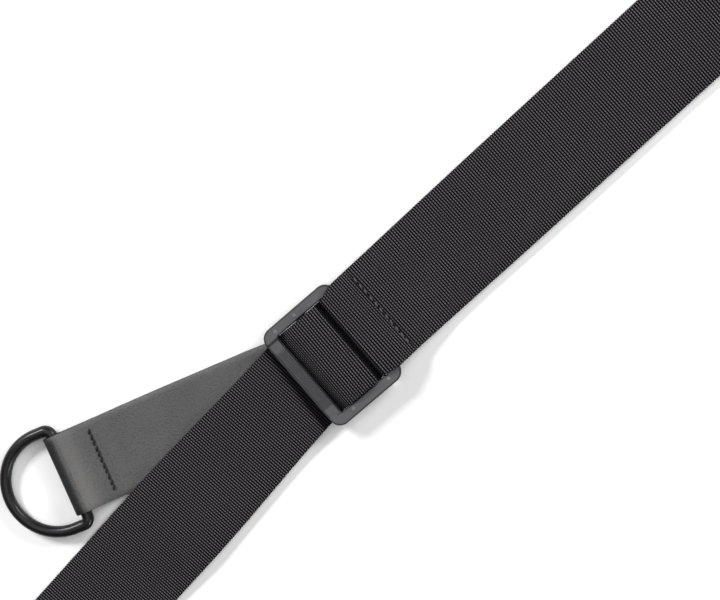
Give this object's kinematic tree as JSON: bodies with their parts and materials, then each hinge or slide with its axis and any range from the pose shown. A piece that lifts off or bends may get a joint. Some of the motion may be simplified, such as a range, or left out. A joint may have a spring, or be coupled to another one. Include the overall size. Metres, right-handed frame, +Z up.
{
  "type": "guitar strap",
  "caption": "Webbing strap for an instrument, with a quick-adjust slider, a leather pull tab on a D-ring, and a leather button tab at each end.",
  "frame": {"origin": "middle of the strap's box on the surface that it lies on", "axes": "+X along the strap from the folded shoulder end to the doubled end, +Y across it, +Z up from the surface"},
  "size_m": [0.7028, 0.1334, 0.0155],
  "materials": {
    "webbing": "black ribbed polyester webbing, matt with a faint sheen on the ribs",
    "leather": "charcoal nubuck-like leather, matt, with cut edges",
    "plastic": "moulded black plastic, satin",
    "metal": "glossy black coated steel wire",
    "thread": "black bonded nylon thread"
  },
  "bodies": {
    "slider": {"slider_frame": "plastic", "webbing_through_slider": "webbing", "webbing_sewn_loop": "webbing", "sewn_loop_stitching": "thread", "bar_wrap": "leather", "webbing_top_leg": "webbing", "webbing_under_leg": "webbing"},
    "loop_bight": {"webbing_loop_bight": "webbing"},
    "wire_loop": {"wire_loop": "metal"},
    "button_tab_a": {"button_tab_a": "leather", "button_tab_a_stitching": "thread"},
    "pull_tab": {"pull_tab": "leather", "pull_tab_stitching": "thread"},
    "d_ring": {"d_ring": "metal"},
    "shoulder": {"webbing_shoulder_run": "webbing", "webbing_bundle": "webbing", "webbing_tail": "webbing", "button_tab_b_front": "leather", "button_tab_b_back": "leather", "button_tab_b_stitching": "thread"}
  },
  "joints": [
    {"name": "slider_travel", "type": "slide", "parent": "slider", "child": "shoulder", "axis": [0.992, 0.1262, 0], "range_m": [-0.04, 0.04], "deforming": ["webbing_shoulder_run"]},
    {"name": "loop_travel", "type": "slide", "parent": "slider", "child": "loop_bight", "axis": [0.999, 0.0454, 0], "range_m": [-0.02, 0.02], "deforming": ["webbing_top_leg", "webbing_under_leg"]},
    {"name": "wire_loop_swing", "type": "hinge", "parent": "loop_bight", "child": "wire_loop", "pos_m": [0.24344, 0.0093, 0.0042], "axis": [0.0454, -0.999, 0], "range_deg": [0, 80]},
    {"name": "button_tab_a_swing", "type": "hinge", "parent": "wire_loop", "child": "button_tab_a", "pos_m": [0.25943, 0.01002, 0.0042], "axis": [0.0454, -0.999, 0], "range_deg": [0, 90]},
    {"name": "pull_tab_swivel", "type": "hinge", "parent": "slider", "child": "pull_tab", "pos_m": [-0.00832, -0.00232, 0], "axis": [0, 0, 1], "range_deg": [-8, 1.5]},
    {"name": "d_ring_swing", "type": "hinge", "parent": "pull_tab", "child": "d_ring", "pos_m": [-0.14038, 0.03876, 0.00445], "axis": [0.297, 0.9549, 0], "range_deg": [0, 165]}
  ],
  "couplings": [
    {"joint": "loop_travel", "follows": "slider_travel", "ratio": 0.5}
  ]
}
